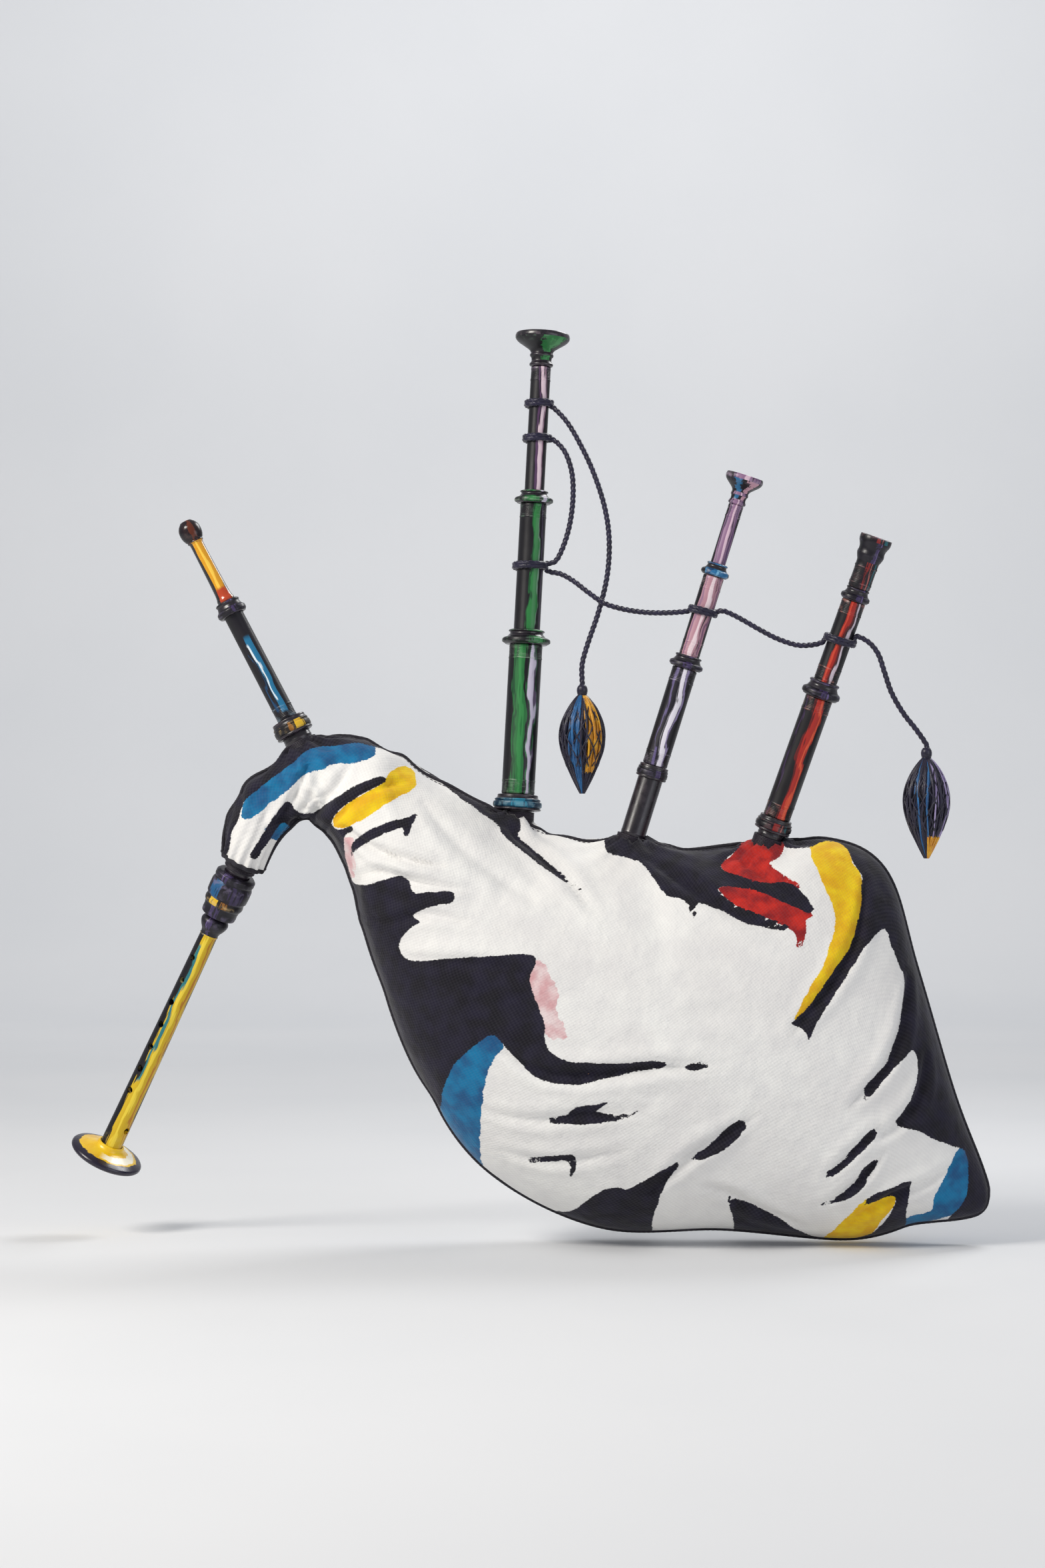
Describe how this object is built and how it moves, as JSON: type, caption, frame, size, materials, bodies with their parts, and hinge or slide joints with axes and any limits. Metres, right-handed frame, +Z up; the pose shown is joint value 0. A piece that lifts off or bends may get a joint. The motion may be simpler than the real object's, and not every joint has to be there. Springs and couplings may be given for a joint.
{
  "type": "bagpipes",
  "caption": "Bagpipes in playing position: a swan-necked bag in a white cloth cover with coloured patches, with drones, blowpipe, chanter, cords and tassels.",
  "frame": {"origin": "the middle of the bag, where the player's upper arm holds it against the ribs", "axes": "+Z up as played; +X from the chanter towards the back of the bag, so the player faces -X; +Y from the player's arm through the bag to the player's ribs"},
  "size_m": [0.9702, 0.2284, 0.9615],
  "materials": {
    "bag_cloth": "matte white cloth, painted in patches",
    "hide": "seasoned hide",
    "blackwood": "oiled, near black",
    "green_lacquer": "green lacquer, glossy",
    "violet_lacquer": "pale violet lacquer, glossy",
    "red_lacquer": "red lacquer, glossy",
    "blue_lacquer": "blue lacquer, glossy",
    "yellow_lacquer": "yellow lacquer, glossy",
    "amber": "amber, polished",
    "brass": "drawn tube, satin",
    "waxed_thread": "waxed hemp thread",
    "cane": "bare cane",
    "rubber": "matte",
    "silk": "twisted silk cord"
  },
  "bodies": {
    "bag": {"bag_cover": "bag_cloth", "hide_bag": "hide", "bass_stock": "blackwood", "bass_stock_ferrule": "blue_lacquer", "bass_stock_whipping": "waxed_thread", "middle_tenor_stock": "blackwood", "middle_tenor_stock_ferrule": "blackwood", "middle_tenor_stock_whipping": "waxed_thread", "outer_tenor_stock": "blackwood", "outer_tenor_stock_ferrule": "red_lacquer", "outer_tenor_stock_whipping": "waxed_thread", "blowpipe_stock": "blackwood", "blowpipe_stock_ferrule": "yellow_lacquer", "blowpipe_stock_whipping": "waxed_thread", "chanter_stock": "blackwood", "chanter_stock_ferrule": "blackwood", "chanter_stock_whipping": "waxed_thread", "bass_bottom_joint": "green_lacquer", "bass_reed": "cane", "bass_reed_bridle": "rubber", "middle_tenor_bottom_joint": "violet_lacquer", "middle_tenor_collar_mount": "blackwood", "middle_tenor_reed": "cane", "middle_tenor_reed_bridle": "rubber", "outer_tenor_bottom_joint": "red_lacquer", "outer_tenor_collar_mount": "blackwood", "outer_tenor_reed": "cane", "outer_tenor_reed_bridle": "rubber", "middle_tenor_wrap": "silk", "outer_tenor_wrap": "silk", "cord_bass_to_middle": "silk", "cord_middle_to_outer": "silk", "tassel_cord_outer": "silk"},
    "bass_middle": {"bass_middle_joint": "green_lacquer", "bass_middle_mount": "blackwood", "bass_middle_wrap": "silk"},
    "bass_top": {"bass_top_joint": "violet_lacquer", "bass_top_mount": "green_lacquer", "bass_bell": "blackwood", "bass_loop_wrap": "silk", "bass_top_wrap": "silk", "cord_loop": "silk", "tassel_cord_bass": "silk"},
    "middle_tenor_top": {"middle_tenor_top_joint": "violet_lacquer", "middle_tenor_top_mount": "blue_lacquer", "middle_tenor_bell": "blue_lacquer"},
    "outer_tenor_top": {"outer_tenor_top_joint": "red_lacquer", "outer_tenor_top_mount": "blackwood", "outer_tenor_bell": "blackwood"},
    "blowpipe": {"blowpipe_tube": "blue_lacquer", "blowpipe_mount": "blackwood", "mouthpiece": "amber"},
    "valve_flap": {"valve_flap": "rubber"},
    "chanter": {"chanter_body": "yellow_lacquer", "chanter_sole": "yellow_lacquer", "chanter_reed_staple": "brass", "chanter_reed_blade_front": "cane", "chanter_reed_blade_back": "cane"},
    "tassel_bass": {"tassel_bass": "silk"},
    "tassel_outer": {"tassel_outer": "silk"}
  },
  "joints": [
    {"name": "bass_lower_tuning", "type": "slide", "parent": "bag", "child": "bass_middle", "axis": [0.0541, 0.0523, 0.9972], "range_m": [0, 0.045]},
    {"name": "bass_upper_tuning", "type": "slide", "parent": "bass_middle", "child": "bass_top", "axis": [0.0541, 0.0523, 0.9972], "range_m": [0, 0.04]},
    {"name": "middle_tenor_tuning", "type": "slide", "parent": "bag", "child": "middle_tenor_top", "axis": [0.2974, -0.05, 0.9535], "range_m": [0, 0.038]},
    {"name": "outer_tenor_tuning", "type": "slide", "parent": "bag", "child": "outer_tenor_top", "axis": [0.3256, -0.1316, 0.9363], "range_m": [0, 0.034]},
    {"name": "blowpipe_turn", "type": "hinge", "parent": "bag", "child": "blowpipe", "pos_m": [-0.396, 0, 0.28665], "axis": [-0.4633, 0.0618, 0.884], "continuous": true},
    {"name": "valve_hinge", "type": "hinge", "parent": "blowpipe", "child": "valve_flap", "pos_m": [-0.39258, 0.00063, 0.29564], "axis": [0, -0.9976, 0.0698], "range_deg": [0, 65], "stiffness_Nm_per_rad": 0.002},
    {"name": "chanter_turn", "type": "hinge", "parent": "bag", "child": "chanter", "pos_m": [-0.459, 0, 0.1685], "axis": [-0.4226, 0.2498, -0.8712], "range_deg": [-45, 45]},
    {"name": "tassel_bass_swing", "type": "hinge", "parent": "bass_top", "child": "tassel_bass", "pos_m": [-0.102, 0.015, 0.354], "axis": [1, 0, 0], "range_deg": [-40, 40]},
    {"name": "tassel_outer_swing", "type": "hinge", "parent": "bag", "child": "tassel_outer", "pos_m": [0.254, -0.056, 0.287], "axis": [1, 0, 0], "range_deg": [-40, 40]}
  ]
}
